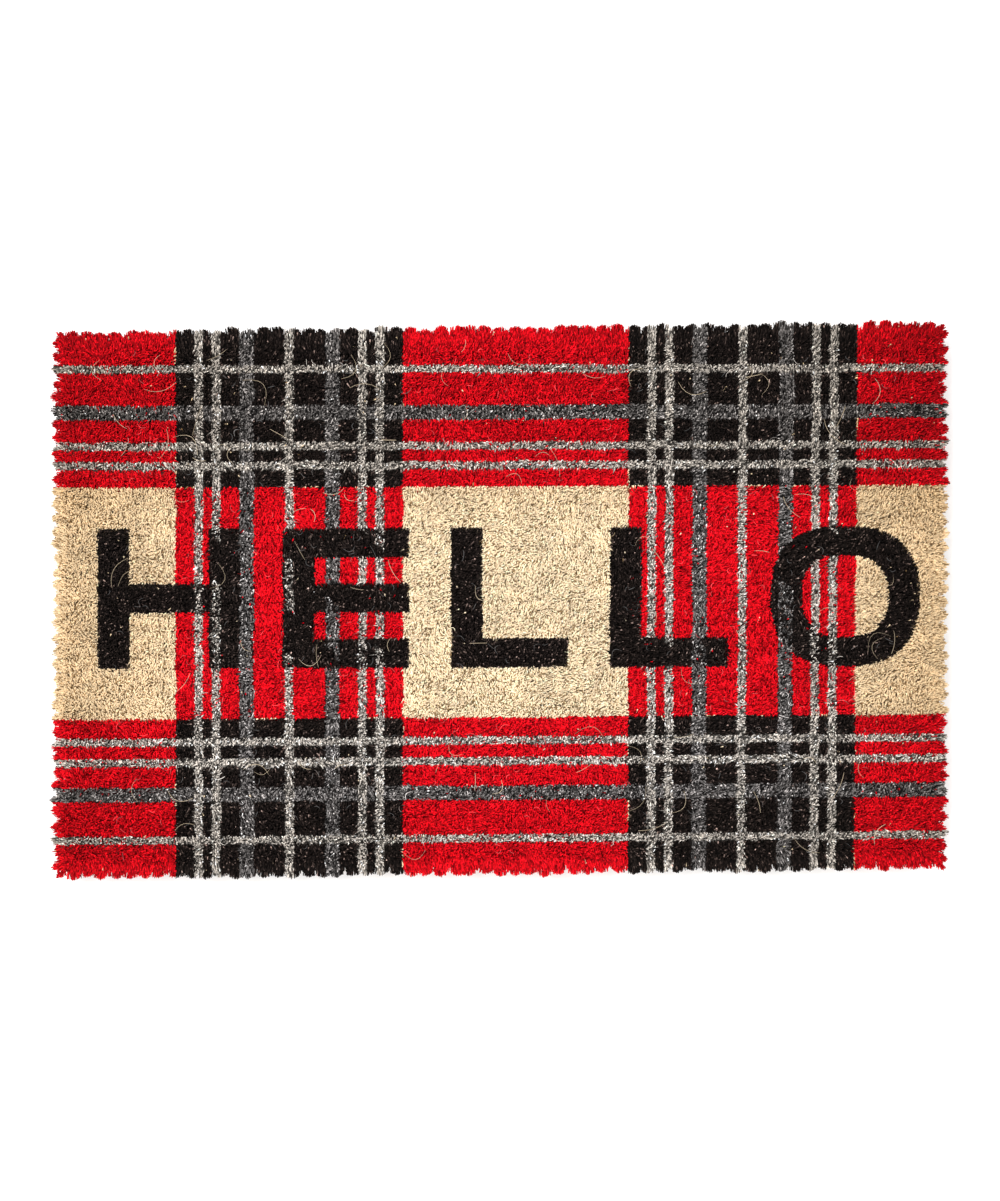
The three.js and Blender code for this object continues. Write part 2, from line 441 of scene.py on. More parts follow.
# Heights of the stripes and field edges that run along the mat, at its middle.
LIGHT_ALONG = (198.6 * MM, 132.8 * MM, 116.2 * MM, -119.2 * MM, -136.7 * MM, -202.9 * MM)
DARK_ALONG = (161.5 * MM, -164 * MM)
LIGHT_ALONG_WIDTH = 0.92  # of a light stripe that runs across the mat
MIDDLE_FIELD = (-99.5 * MM, 97.8 * MM)

# How the stencils lie on the mat: the rise of their long edges, how much less it is for each metre further
# back, and the lean of their upright edges for each metre right of a place a little right of the middle.
STENCIL_RISE = 0.005
STENCIL_FAN = 0.014
STENCIL_LEAN = 0.024
LEAN_START = 30 * MM
WORD_RISE = 0.004  # of the word's own stencil
INK_STRAYS = 0.2 * MM  # from one bristle to the next
BARE_GAP = 0.3 * MM  # half of the widest gap between two fields' stencils

NATURAL, RED, BLACK, LIGHT, DARK, LETTER = range(6)
# The share of the bristles that took each ink, and the share that no ink reached.
LIGHT_COVER = 0.96
DARK_COVER = 0.985
LETTER_COVER = 0.997
MISSED = 0.0006
# The share of the bristles under thin letters that keep a stripe's ink.
DARK_SHOWS = 0.6
LIGHT_SHOWS = 0.5
# How much each ink's strength varies from bristle to bristle, in the order of the inks.
UNEVENNESS = np.array([0.16, 0.40, 0.75, 0.50, 0.60, 0.75])
BROWN_SHARE = 0.13
BROWN = (0.33, 0.27, 0.19)
# Bristles of an odd shade: their inks, the span of luck that picks them, and the factor on their tint.
ODD_SHADES = (
    # The first two rows are painted shade: they darken bristles for the dark gaps between the fibres.
    ((LIGHT, DARK), (0, 0.31), 0.11),
    ((RED,), (0, 0.14), 0.35),
    ((DARK,), (0.90, 1), 3.2),
    ((BLACK, LETTER), (0.94, 1), 11),
)
# Painted shade towards each side, where less light falls: where it starts, over what distance it grows, and
# how much it darkens the mat.
SHADED_BACK = (60 * MM, 80 * MM, 0.22)
SHADED_FRONT = (140 * MM, 70 * MM, 0.12)
SHADED_LEFT = (220 * MM, 160 * MM, 0.24)
SHADED_RIGHT = (220 * MM, 160 * MM, 0.27)
# The factor where no painted shade falls, a little over 1.
UNSHADED = 1.03
# What the painted shade does to red, green and blue, as powers: it dims blue most, so raw fibre turns
# yellower in it.
SHADE_ON_RAW = (0.9, 1.2, 1.7)
SHADE_ON_INK = (1, 1.05, 1.15)

# The word's letters, each by its width over its height and the strokes that make it.
WORD = (
    (1.02, ("left", "right", "middle")),
    (0.90, ("left", "low", "middle", "high")),
    (0.84, ("left", "low")),
    (0.84, ("left", "low")),
    (1.07, ("ring",)),
)


LEVEL_STROKE = 0.92  # height of a letter's level strokes, of the width of its upright ones
OVAL_POWER = 2.5  # 2 gives an ellipse, and more a squarer one


def in_oval(across, up, half_width, half_height):
    """Which points lie in a squarish oval about the origin."""
    return (across / half_width) ** OVAL_POWER + (up / half_height) ** OVAL_POWER < 1


def on_letters(x, y, stencil):
    """Which points the word covers. Its letters are plain bars, and one ring."""
    height = stencil.letter_height
    stroke = stencil.letter_stroke
    bar = stroke * LEVEL_STROKE
    widths = [ratio * height for ratio, _ in WORD]
    gap = (stencil.word_length - sum(widths)) / (len(WORD) - 1)
    left = stencil.word_middle[0] - stencil.word_length / 2
    up = y - stencil.word_middle[1] + height / 2
    covered = np.zeros(x.shape, bool)
    for width, (_, names) in zip(widths, WORD):
        over = x - left
        sideways = np.abs(over - width / 2)
        upwards = np.abs(up - height / 2)
        hole = in_oval(sideways, upwards, width / 2 - stroke, height / 2 - bar)
        strokes = {
            "left": over < stroke,
            "right": over > width - stroke,
            "low": up < bar,
            "middle": upwards < bar / 2,
            "high": up > height - bar,
            "ring": in_oval(sideways, upwards, width / 2, height / 2) & ~hole,
        }
        inside = (over > 0) & (over < width) & (up > 0) & (up < height)
        covered |= inside & np.any([strokes[name] for name in names], axis=0)
        left += width + gap
    return covered


def near_any(position, middles, width, ragged):
    """Which points lie on a stripe of this width about any of the middles."""
    return np.any([np.abs(position - middle + ragged) < width / 2 for middle in middles], axis=0)


def inked(x, y, stencil, rng):
    """Which ink is on each point of the pile: the word's and stripes' inks lie over the fields' inks."""
    x = x + rng.normal(0, INK_STRAYS, x.shape)
    y = y + rng.normal(0, INK_STRAYS, y.shape)
    # The place on the stencils, which were laid down a little askew.
    v = y - (STENCIL_RISE - STENCIL_FAN * y) * x
    u = x - np.maximum(x - LEAN_START, 0) * STENCIL_LEAN * y
    rough_u = stencil.ragged * wander(v, 21, (0.09, 0.026, 0.011))
    rough_v = stencil.ragged * wander(u, 22, (0.10, 0.031, 0.012))
    sliver = BARE_GAP * wander(u + v, 23, (0.13, 0.047))
    bands = (stencil.left_band, stencil.right_band)
    from_band = np.min([np.abs(u - middle + rough_u) for middle in bands], axis=0) - stencil.band_half_width
    from_middle = np.maximum(v - MIDDLE_FIELD[1], MIDDLE_FIELD[0] - v) + rough_v
    in_band = from_band < 0
    in_middle = from_middle < 0
    ink = np.where(in_middle, np.where(in_band, RED, NATURAL), np.where(in_band, BLACK, RED))
    unprinted = (np.abs(from_band) < sliver) | (np.abs(from_middle) < sliver)
    ink = np.where(unprinted, NATURAL, ink)

    light_middles = [band + stripe for band in bands for stripe in LIGHT_ACROSS_BAND]
    dark_middles = [band + stripe for band in bands for stripe in DARK_ACROSS_BAND]
    light_across = near_any(u, light_middles, stencil.light_width, rough_u)
    dark_across = near_any(u, dark_middles, stencil.dark_width, rough_u)
    light_along = near_any(v, LIGHT_ALONG, stencil.light_width * LIGHT_ALONG_WIDTH, rough_v)
    dark_along = near_any(v, DARK_ALONG, stencil.dark_width, rough_v)
    took = rng.random(x.shape)
    light = (light_across | (light_along & ~in_middle)) & (took < LIGHT_COVER)
    dark = (dark_across | (dark_along & ~in_middle)) & (took < DARK_COVER)
    letter = on_letters(x + rough_v, y - WORD_RISE * x + rough_u, stencil) & (took < LETTER_COVER)
    # Stripes show through the letters in patches, where the letters' ink is thin.
    thin = wander(x + y, 24, (0.21, 0.13)) > 0.1
    ink = np.where(letter, LETTER, ink)
    ink = np.where(dark & (~letter | (thin & (took < DARK_SHOWS))), DARK, ink)
    ink = np.where(light & (~letter | (thin & (took < LIGHT_SHOWS))), LIGHT, ink)
    missed = rng.random(x.shape) < MISSED
    return np.where(missed, NATURAL, ink)


def painted_side_shade(reach, start, over, darkening):
    """How much painted shade darkens the mat this far out towards one of its sides."""
    return darkening * np.clip((reach - start) / over, 0, 1)


def ink_colours(ink, x, y, stencil, rng):
    """Each bristle's own shade of its ink."""
    palette = np.array([
        stencil.natural, stencil.red, stencil.black, stencil.light_grey, stencil.dark_grey, stencil.black,
    ])
    strength = np.exp(rng.normal(0, 1, x.shape) * UNEVENNESS[ink])
    tint = palette[ink] * strength[:, None]
    brown = (ink == NATURAL) & (rng.random(x.shape) < BROWN_SHARE)
    tint[brown] *= BROWN
    luck = rng.random(x.shape)
    for inks, (low, high), factor in ODD_SHADES:
        tint[np.isin(ink, inks) & (luck >= low) & (luck < high)] *= factor
    # Painted shade: the mat darkens towards its sides and ends.
    shaded = painted_side_shade(y, *SHADED_BACK) + painted_side_shade(-y, *SHADED_FRONT) + painted_side_shade(-x, *SHADED_LEFT) + painted_side_shade(x, *SHADED_RIGHT)
    tint *= (UNSHADED - shaded)[:, None] ** np.where((ink == NATURAL)[:, None], SHADE_ON_RAW, SHADE_ON_INK)
    return np.clip(tint, 0, 1)


# ---------------------------------------------------------------------------------------------------
# Bristles
# ---------------------------------------------------------------------------------------------------


def only(piece):
    """Makes this the only selected object, and the active one."""
    bpy.ops.object.select_all(action="DESELECT")
    piece.select_set(True)
    bpy.context.view_layer.objects.active = piece


def bristle_shape(root, segments):
    """A three-sided bristle one unit tall and wide, as its corners and triangles, cut into segments. Its
    root is this share of its tip's width, and 0 for a bristle that comes to a point where it isn't seen."""
    bpy.ops.object.select_all(action="DESELECT")
    bpy.ops.mesh.primitive_cone_add(
        vertices=3, radius1=root / 2, radius2=0.5, depth=1, location=(0, 0, 0.5)
    )
    piece = bpy.context.object
    bpy.ops.object.transform_apply(location=True, rotation=True, scale=True)
    bpy.ops.object.mode_set(mode="EDIT")
    for cut in range(1, segments):
        bpy.ops.mesh.select_all(action="SELECT")
        bpy.ops.mesh.bisect(plane_co=(0, 0, cut / segments), plane_no=(0, 0, 1))
    bpy.ops.mesh.select_all(action="SELECT")
    bpy.ops.mesh.quads_convert_to_tris()
    bpy.ops.mesh.normals_make_consistent(inside=False)
    bpy.ops.object.mode_set(mode="OBJECT")
    corners = np.array([v.co for v in piece.data.vertices])
    triangles = np.array([list(p.vertices) for p in piece.data.polygons])
    bpy.data.objects.remove(piece)
    return corners, triangles


def bristle_cell(corners, triangles):
    """Where each triangle corner of a bristle lies in its own square cell of the bake map: its sides are
    strips side by side, and its ends are small patches at the strips' ends."""
    cell = np.zeros((len(triangles), 3, 2))
    for i, triangle in enumerate(triangles):
        points = corners[triangle]
        if np.ptp(points[:, 2]) < 1e-6:
            low = 0.02 if points[0, 2] < 0.5 else 0.90
            cell[i] = [(0.2, low), (0.8, low), (0.5, low + 0.08)]
            continue
        normal = np.cross(points[1] - points[0], points[2] - points[0])
        facing = math.atan2(normal[1], normal[0])
        strip = int(round((facing + math.pi) / (2 * math.pi / 3) - 0.5)) % 3
        sideways = points[:, 1] * math.cos(facing) - points[:, 0] * math.sin(facing)
        cell[i, :, 0] = (strip + 0.5 + 0.42 * np.sign(sideways.round(3))) / 3
        cell[i, :, 1] = 0.12 + 0.76 * points[:, 2]
    return cell


class Planting:
    """Collects the bristles and the bed that make up one pile row."""

    BED_SHARE = 0.06  # of the bake map's height

    def __init__(self):
        self.points = []
        self.triangles = []
        self.inks = []
        self.places = []
        self.cells = []
        self.spots = []
        self.count = 0

    def add(self, points, triangles, inks):
        self.points.append(points.reshape(-1, 3))
        self.triangles.append(triangles.reshape(-1, 3) + self.count)
        self.inks.append(inks.reshape(-1, 3))
        self.count += len(self.points[-1])

    def bed(self, points, triangles, inks):
        """Adds a solid that is mapped, by the way its faces look, into strips along the map's top."""
        self.add(points, triangles, inks)
        corners = points[triangles]
        facing = np.cross(corners[:, 1] - corners[:, 0], corners[:, 2] - corners[:, 0])
        flat = np.abs(facing[:, 2]) > np.abs(facing[:, :2]).max(axis=1)
        strip = np.where(flat, np.where(facing[:, 2] > 0, 0, 1), 2)[:, None]
        x, y, z = (corners - points.min(0)).transpose(2, 0, 1)
        across = x + 0.5 * y + 0.7 * z
        rise = y + z
        across = 0.01 + 0.98 * across / across.max()
        rise = (strip + 0.08 + 0.84 * rise / rise.max()) / 3
        self.places.append(np.stack([across, 1 - self.BED_SHARE * (1 - rise)], axis=2))

    def bristles(self, shape, roots, bends, tips, widths, tints, rng):
        """Plants a copy of the shape along each curve from root past bend to tip."""
        corners, triangles = shape
        t = corners[:, 2][None, :, None]
        line = roots[:, None] * (1 - t) ** 2 + 2 * bends[:, None] * t * (1 - t) + tips[:, None] * t**2
        along = tips - roots
        along /= np.linalg.norm(along, axis=1, keepdims=True)
        turn = rng.uniform(0, 2 * math.pi, len(roots))
        helper = np.stack([np.cos(turn), np.sin(turn), np.zeros(len(roots))], axis=1)
        side = np.cross(along, helper)
        side /= np.linalg.norm(side, axis=1, keepdims=True)
        other = np.cross(along, side)
        spread = corners[None, :, 0:1] * side[:, None] + corners[None, :, 1:2] * other[:, None]
        points = line + spread * widths[:, None, None]
        first = np.arange(len(roots))[:, None, None] * len(corners)
        self.add(points, triangles[None] + first, np.repeat(tints[:, None], len(corners), axis=1))
        self.cells.append(bristle_cell(corners, triangles))
        self.spots.append(tips[:, :2])

    def bake_map(self):
        """The map that is baked: a square cell for each bristle, so placed that neighbours on the mat are
        neighbours on the map, under the bed's strips."""
        x, y = np.concatenate(self.spots).T
        side = math.ceil(math.sqrt(len(x)))
        column = np.empty(len(x), int)
        column[np.argsort(x)] = np.arange(len(x)) // side
        rank = np.empty(len(x), int)
        rank[np.lexsort((y, column))] = np.arange(len(x))
        cell_size = np.array([1, 1 - self.BED_SHARE]) / side
        corner = np.stack([column, rank % side], axis=1) * cell_size
        places = list(self.places)
        first = 0
        for cell, spots in zip(self.cells, self.spots):
            own = corner[first : first + len(spots)]
            places.append((own[:, None, None] + cell[None] * cell_size).reshape(-1, 3, 2))
            first += len(spots)
        return np.concatenate(places)

    def mesh(self, name, material):
        """One mesh object at the origin, from all that was added."""
        points = np.concatenate(self.points)
        triangles = np.concatenate(self.triangles)
        mesh = bpy.data.meshes.new(name)
        mesh.vertices.add(len(points))
        mesh.vertices.foreach_set("co", points.astype(np.float32).ravel())
        mesh.loops.add(triangles.size)
        mesh.loops.foreach_set("vertex_index", triangles.astype(np.int32).ravel())
        mesh.polygons.add(len(triangles))
        mesh.polygons.foreach_set("loop_start", np.arange(0, triangles.size, 3, dtype=np.int32))
        uv = mesh.uv_layers.new(name="OFBake")
        uv.data.foreach_set("uv", self.bake_map().astype(np.float32).ravel())
        shades = np.ones((len(points), 4), np.float32)
        shades[:, :3] = np.concatenate(self.inks)
        mesh.attributes.new("ink", "FLOAT_COLOR", "POINT").data.foreach_set("color", shades.ravel())
        mesh.update(calc_edges=True)
        mesh.materials.append(material)
        piece = bpy.data.objects.new(name, mesh)
        bpy.context.collection.objects.link(piece)
        return piece


BED_INSET = 6 * MM  # from the outline to the bed
BED_GAP = 0.2 * MM  # between the bed and its row's edge
BED_CUTS = (150, 5)  # along the row and across it
BED_SHADE = 0.55  # it lies in the bristles' shadow
FLAT_TOP = 0.9 * MM  # from the top of the pile down to its shorn face
RIM_STARTS = 2.2 * MM  # the top's bristles stop this far inside the outline, where the rim's take over
SHOULDER = 8 * MM  # how far in from the outline the shorn face curves down
SPLAY = 9 * MM  # how far out the bristles lean at the outline
LOOSE_FROM_END = 40 * MM  # loose fibres start no nearer to the mat's ends
LOOSE_FROM_EDGE = 20 * MM  # or to its long edges
LONG_FIBRE = 11 * MM  # loose fibres from this length up are raw


class PileRow:
    """Where one row's bristles stand, and what they are made of."""

    def __init__(self, index, settings, stencil):
        self.pile = settings
        self.stencil = stencil
        self.rng = np.random.default_rng(100 + index)
        self.middle = middle = ROW_MIDDLES[index]
        self.first = index == 0
        self.last = index == len(PILE_ROWS) - 1
        self.low = -HALF_WIDTH if self.first else middle - ROW_STEP / 2
        self.high = HALF_WIDTH if self.last else middle + ROW_STEP / 2
        self.tuft_rows = (middle - TUFT_ROW_STEP / 2, middle + TUFT_ROW_STEP / 2)

    def outline(self, x, y):
        return inside_outline(x, y, HALF_LENGTH, HALF_WIDTH, self.pile.corner_radius)

    def laid(self, x, y, z):
        return as_laid(np.stack([x, y, z], axis=1), self.pile)

    def plant_bed(self, planting):
        """The dense pile under the bristles that can be told apart."""
        ends = HALF_LENGTH - BED_INSET
        low = self.low + (BED_INSET if self.first else BED_GAP)
        high = self.high - (BED_INSET if self.last else BED_GAP)
        middle = (low + high) / 2
        rise = TOP - self.pile.shown_depth
        along, across = BED_CUTS
        bpy.ops.object.select_all(action="DESELECT")
        bpy.ops.mesh.primitive_grid_add(
            x_subdivisions=along, y_subdivisions=across, size=1, location=(0, middle, rise)
        )
        piece = bpy.context.object
        piece.scale = (2 * ends, high - low, 1)
        bpy.ops.object.transform_apply(location=True, rotation=True, scale=True)
        bpy.ops.object.mode_set(mode="EDIT")
        bpy.ops.mesh.select_all(action="SELECT")
        bpy.ops.mesh.extrude_region_move(TRANSFORM_OT_translate={"value": (0, 0, FOOT - rise)})
        bpy.ops.mesh.select_all(action="SELECT")
        bpy.ops.mesh.normals_make_consistent(inside=False)
        bpy.ops.mesh.quads_convert_to_tris()
        bpy.ops.object.mode_set(mode="OBJECT")
        points = np.array([v.co for v in piece.data.vertices])
        triangles = np.array([list(p.vertices) for p in piece.data.polygons])
        bpy.data.objects.remove(piece)
        x, y, z = points.T
        # Its foot is drawn in to the weave, and its top has a ridge for each row of tufts.
        foot = z < (FOOT + rise) / 2
        pull = np.where(foot, WEAVE_X / ends, 1)
        ridge = np.cos(2 * math.pi * (y - self.tuft_rows[0]) / TUFT_ROW_STEP)
        lump = wander(x * 7 + y * 3, 31) + wander(x * 5 - y * 11, 32)
        z = np.where(foot, z, z + (0.9 * ridge + 0.6 * lump - 0.6) * MM)
        if self.first or self.last:
            rim = np.abs(y) > HALF_WIDTH - BED_INSET - 1 * MM
            y = np.where(foot & rim, np.sign(y) * WEAVE_Y, y)
        ink = inked(x, y, self.stencil, self.rng)
        tints = ink_colours(ink, x, y, self.stencil, self.rng) * BED_SHADE
        planting.bed(self.laid(x * pull, y, z), triangles, tints)

    def plant_top(self, planting, shape):
        """The bristles that show from above, each from its tip down to where its neighbours hide it."""
        pile, rng = self.pile, self.rng
        # The grid's rows are a little closer than its columns. Each bristle strays more than half a step.
        rows = np.arange(self.low, self.high, pile.spacing * 0.866)
        columns = np.arange(-HALF_LENGTH, HALF_LENGTH, pile.spacing)
        x, y = (grid.ravel() for grid in np.meshgrid(columns, rows))
        x = x + rng.uniform(-0.6, 0.6, x.shape) * pile.spacing
        y = y + rng.uniform(-0.6, 0.6, y.shape) * pile.spacing
        depth, out_x, out_y = self.outline(x, y)
        kept = depth > RIM_STARTS
        x, y, depth, out_x, out_y = (values[kept] for values in (x, y, depth, out_x, out_y))
        splay = np.clip(1 - depth / pile.rim_depth, 0, 1) ** 1.5
        # The shorn face dips where it is worn and at the shoulder. No two bristles are quite as long, and
        # one in six is well short of the face.
        shoulder = np.clip(1 - depth / SHOULDER, 0, 1) ** 2
        worn = 0.5 * MM * (wander(x, 41) + wander(y * 2 + x, 42))
        short = np.where(rng.random(x.shape) < 0.16, rng.uniform(0.8, 4, x.shape), 0) * MM
        uneven = np.abs(rng.normal(0, 0.7, x.shape)) * MM
        z = np.minimum(TOP - FLAT_TOP + worn - uneven - 4 * MM * shoulder - short, TOP)
        # Bristles of one tuft stand on one spot, so their tips lean away from it. They also lie the way
        # that their patch is brushed, and at the rim they lean out instead.
        tuft_y = np.where(y < sum(self.tuft_rows) / 2, *self.tuft_rows)
        tuft_x = np.round(x / pile.tuft_pitch) * pile.tuft_pitch
        lie = 0.95 + 0.7 * (wander(x * 0.8 + y, 43) + wander(x - y * 1.3, 44))
        brushed = pile.brushed * (1 - splay)
        lean_x = rng.normal(0, pile.lean, x.shape) + 0.35 * (x - tuft_x) + splay * out_x * SPLAY
        lean_y = rng.normal(0, pile.lean, x.shape) + 0.3 * (y - tuft_y) + splay * out_y * SPLAY
        lean_x += brushed * np.cos(lie)
        lean_y += brushed * np.sin(lie)
        # A bristle comes to its point inside the bed, half as deep again as it can be seen. One that lies
        # over its neighbours goes as far sideways, and hardly down. The ink's edges are sharp, so none
        # lies over them.
        reach = 1.5 * rng.uniform(0.85, 1.15, x.shape)
        tips = self.laid(x, y, z)
        roots = self.laid(x - lean_x * reach, y - lean_y * reach, z - pile.shown_depth * reach)
        ink = inked(*tips.T[:2], self.stencil, rng)
        over = (rng.random(x.shape) < pile.laid_over) & (splay < 0.3)
        over &= ink == inked(*roots.T[:2], self.stencil, rng)
        roots[:, 2] += np.where(over, 0.64 * pile.shown_depth * reach, 0)
        tints = ink_colours(ink, *tips.T[:2], self.stencil, rng)
        widths = pile.bristle_width * rng.uniform(0.75, 1.2, x.shape) * np.where(over, 0.8, 1)
        planting.bristles(shape, roots, (roots + tips) / 2, tips, widths, tints, rng)

    def plant_rim(self, planting, shape):
        """The long bristles that fan out over the braid, in tufts, and are shorn to a steep wall."""
        pile, rng = self.pile, self.rng
        around = round_rectangle(HALF_LENGTH, HALF_WIDTH, pile.corner_radius, pile.rim_spacing)
        y = around[:, 1]
        own = (self.first | (y > self.low)) & (self.last | (y <= self.high))
        x, y, out_x, out_y = around[own].T
        on_end = np.abs(out_x) > 0.7
        # Each row of tufts ends in one bunch at the mat's end, and on a long edge two tufts lean together.
        tuft_pitch = np.where(on_end, TUFT_ROW_STEP, 2 * pile.tuft_pitch)
        run = np.where(on_end, y - ROW_MIDDLES[0] + TUFT_ROW_STEP / 2, x)
        tuft = np.round(run / tuft_pitch).astype(int)
        off_middle = run - tuft * tuft_pitch
        side = np.where(on_end, out_x > 0, 2 + (out_y > 0))
        # Every row draws from one table of tufts, so that neighbouring rows agree on a tuft they share.
        luck, sweep = np.random.default_rng(7).normal(0, 1, (2, 4, 400))[:, side, tuft + 200]
        # A bunch comes to a point at the mat's end. On a long edge it is rounder and shallower, and less
        # like its neighbours.
        from_middle = 2 * np.abs(off_middle) / tuft_pitch
        unlike = np.where(on_end, 0.28, 0.6)
        bunch = 1.3 + unlike * luck - 1.8 * from_middle ** np.where(on_end, 0.5, 0.8)
        bunch *= np.where(on_end, 1, 0.55) * pile.notch

        def place(out, aside):
            """The points this far out of the outline and this far along it."""
            return x + out_x * out + np.where(on_end, 0, aside), y + out_y * out + np.where(on_end, aside, 0)

        foot_in = HALF_LENGTH - WEAVE_X - rng.uniform(1, 6.5, x.shape) * MM
        root_x, root_y = place(-foot_in, -0.5 * off_middle)
        height = rng.random(x.shape)
        tip_z = WALL_HEIGHTS[0] + height * (TOP - 2 * MM - WALL_HEIGHTS[0])
        short = np.abs(rng.normal(0, 0.7, x.shape)) * MM
        reach = np.interp(tip_z, WALL_HEIGHTS, WALL_REACHES) + bunch - short
        aside = (0.9 * sweep + rng.normal(0, 0.8, x.shape)) * MM - np.where(on_end, 0.4, 0.2) * off_middle
        tip_x, tip_y = place(reach, aside)
        root_z = FOOT + rng.uniform(-1.5, 1.5, x.shape) * MM
        # A bristle rises first and leans out later, the low ones more so.
        bend_x = root_x + (tip_x - root_x) * 0.35
        bend_y = root_y + (tip_y - root_y) * 0.35
        bend_z = root_z + (tip_z - root_z) * 0.62 + 1.5 * MM * (1 - height)
        roots = self.laid(root_x, root_y, root_z)
        bends = self.laid(bend_x, bend_y, bend_z)
        tips = self.laid(tip_x, tip_y, tip_z)
        ink = inked(*tips.T[:2], self.stencil, rng)
        tints = ink_colours(ink, *tips.T[:2], self.stencil, rng)
        widths = pile.bristle_width * rng.uniform(0.55, 0.95, x.shape)
        planting.bristles(shape, roots, bends, tips, widths, tints, rng)

    def plant_back(self, planting, shape):
        """The backs of the tufts: fibres that come out from under the weft on the mat's underside."""
        rng = self.rng
        count = round(4 * WEAVE_X / self.pile.back_spacing)  # two rows of them, front and back
        x = rng.uniform(-1, 1, count) * (WEAVE_X - 2 * MM)
        way = rng.choice((-1.0, 1.0), count)
        root_y = self.middle + way * rng.uniform(1, 4, count) * MM
        tip_y = self.middle + way * ROW_STEP / 2 * rng.uniform(0.85, 1.1, count)
        tip_y = np.clip(tip_y, -WEAVE_Y, WEAVE_Y)
        roots = self.laid(x, root_y, np.full(count, FOOT - 0.2 * MM))
        tips = self.laid(x + rng.normal(0, 1.5, count) * MM, tip_y, FOOT - rng.uniform(0.1, 1, count) * MM)
        bends = (roots + tips) / 2 - np.array([0, 0, 0.4 * MM])
        raw = np.tile(self.stencil.natural, (count, 1))
        widths = rng.uniform(1, 1.6, count) * MM
        planting.bristles(shape, roots, bends, tips, widths, raw, rng)

    def plant_loose(self, planting, shape):
        """Pulled fibres that lie curled on the pile: many short printed ones, and a few long raw ones."""
        rng = self.rng
        count = rng.poisson(self.pile.loose_fibres / len(PILE_ROWS))
        level = np.zeros(count)
        x = rng.uniform(LOOSE_FROM_END - HALF_LENGTH, HALF_LENGTH - LOOSE_FROM_END, count)
        edge = HALF_WIDTH - LOOSE_FROM_EDGE
        y = rng.uniform(max(self.low, -edge), min(self.high, edge), count)
        heading = rng.uniform(0, 2 * math.pi, count)
        length = (5 + 25 * rng.random(count) ** 8) * MM
        bow = rng.uniform(-0.9, 0.9, count) * length
        ahead = np.stack([np.cos(heading), np.sin(heading), level], axis=1) * length[:, None]
        aside = np.stack([-np.sin(heading), np.cos(heading), level], axis=1) * bow[:, None]
        roots = self.laid(x, y, level + TOP - 1.2 * MM)
        tips = roots + ahead + np.stack([level, level, rng.uniform(0.6, 1.6, count) * MM], axis=1)
        bends = (roots + tips) / 2 + aside + np.stack([level, level, rng.uniform(1, 2, count) * MM], axis=1)
        raw = np.array(self.stencil.natural) * rng.uniform(0.45, 0.9, (count, 1))
        # A printed one catches more light than the pile does, and its ink is half rubbed off.
        ink = inked(*roots.T[:2], self.stencil, rng)
        printed = ink_colours(ink, *roots.T[:2], self.stencil, rng) * 1.4 + 0.11
        tints = np.where(length[:, None] < LONG_FIBRE, printed, raw)
        widths = rng.uniform(0.3, 0.45, count) * MM
        planting.bristles(shape, roots, bends, tips, widths, tints, rng)


# ---------------------------------------------------------------------------------------------------
# Cords
# ---------------------------------------------------------------------------------------------------

CORD_STEP = 3.4 * MM  # between the points of a straight cord
# One stitch round the braid's section, in halves of the section's width and height.
STITCH = ((-0.7, -1), (-1, -0.6), (-1, 0.6), (-0.7, 1), (0.7, 1), (1, 0.6), (1, -0.6), (0.7, -1))
TWINE_STRETCH = 8 * MM  # the longest way between two corners of the twine's curve


def lobed(name, width, sides):
    """The outline of a two-ply yarn, as a flat closed curve. It is as wide as the yarn one way and narrower
    the other, as two plies side by side are."""
    outline = bpy.data.curves.new(name, "CURVE")
    outline.dimensions = "2D"
    spline = outline.splines.new("POLY")
    spline.points.add(sides - 1)
    for i in range(sides):
        angle = 2 * math.pi * i / sides
        radius = width / 2 * (0.80 + 0.20 * math.cos(2 * angle))
        spline.points[i].co = (radius * math.cos(angle), radius * math.sin(angle), 0, 1)
    spline.use_cyclic_u = True
    piece = bpy.data.objects.new(name, outline)
    bpy.context.collection.objects.link(piece)
    return piece


def smooth_through(corners, steps, longest):
    """A curve through the corners, with this many points for each stretch between two. A stretch that is
    longer than the longest is shared out first, so that the curve doesn't swing wide at its ends."""
    knots = [np.array(corners[0])]
    for start, end in zip(np.array(corners[:-1]), np.array(corners[1:])):
        shares = math.ceil(np.linalg.norm(end - start) / longest)
        knots += [start + (end - start) * share / shares for share in range(1, shares + 1)]
    padded = np.array([knots[0], *knots, knots[-1]])
    a, b, c, d = padded[:-3], padded[1:-2], padded[2:-1], padded[3:]
    points = []
    for t in np.arange(steps) / steps:
        pull = (-t + 2 * t**2 - t**3, 2 - 5 * t**2 + 3 * t**3, t + 4 * t**2 - 3 * t**3, -(t**2) + t**3)
        points.append(sum(weight * knot for weight, knot in zip(pull, (a, b, c, d))) / 2)
    return np.concatenate([np.stack(points, axis=1).reshape(-1, 3), padded[-1:]])


